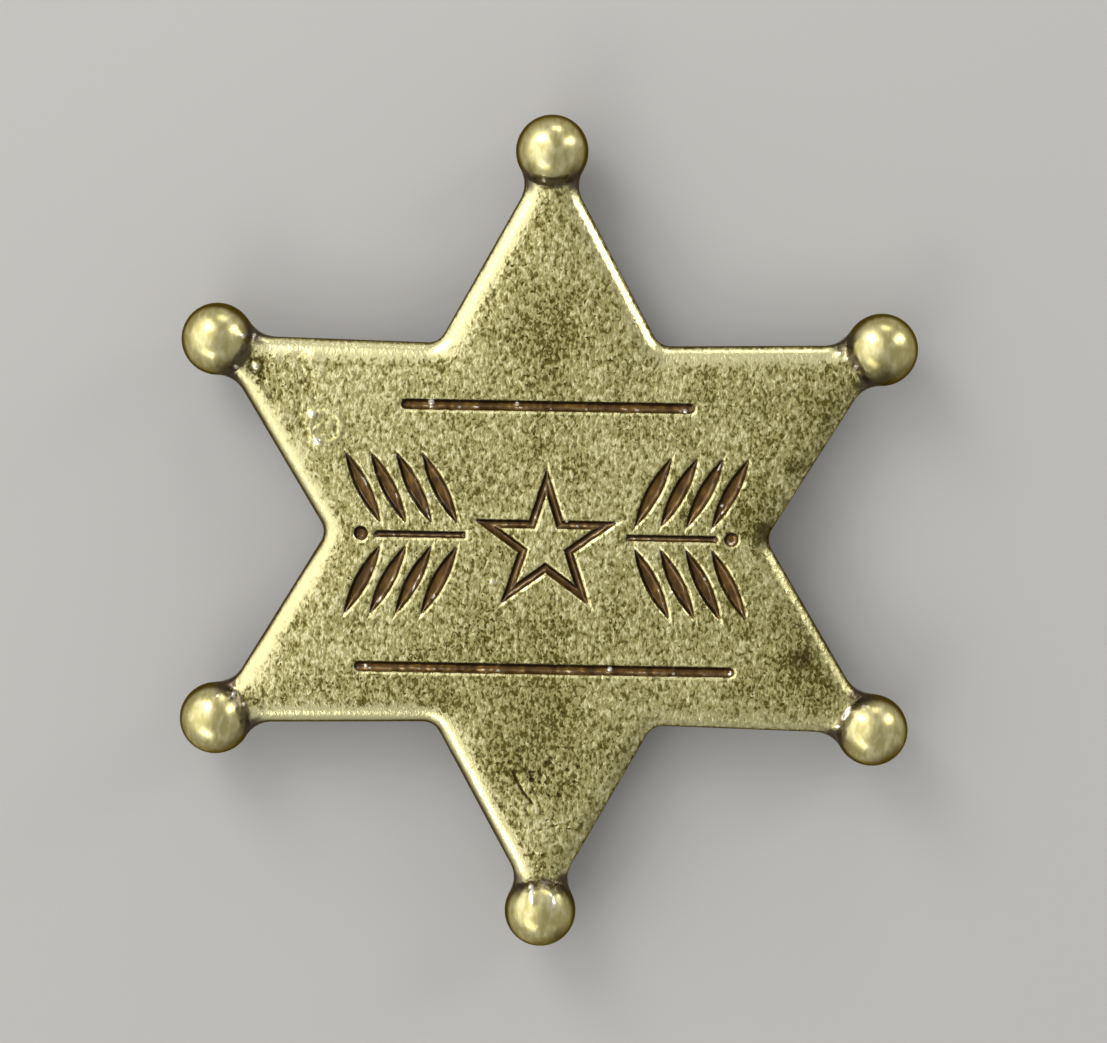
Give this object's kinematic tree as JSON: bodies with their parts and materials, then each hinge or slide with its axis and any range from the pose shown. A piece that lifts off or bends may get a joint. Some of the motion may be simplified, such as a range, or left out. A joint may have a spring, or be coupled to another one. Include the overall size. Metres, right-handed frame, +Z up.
{
  "type": "six-point star badge",
  "caption": "Cast brass-finish star badge with ball-tipped arms, an engraved star and laurel band between two lines, and a brooch clasp on its back.",
  "frame": {"origin": "on the surface that the badge lies on, under the middle of the star", "axes": "+Z up out of the face, +Y toward the top arm, +X to the right as the face is seen"},
  "size_m": [0.057, 0.065, 0.0074],
  "materials": {
    "antique_brass": "zinc alloy casting with an aged brass plating: tumbled matte face with fine dark flecks, bright polished edges and balls, engraved lines filled with glossy brown lacquer",
    "pin_brass": "brass-plated steel, satin, brighter on its edges"
  },
  "bodies": {
    "root": {"star_badge": "antique_brass", "brooch_pin": "pin_brass"}
  },
  "joints": []
}
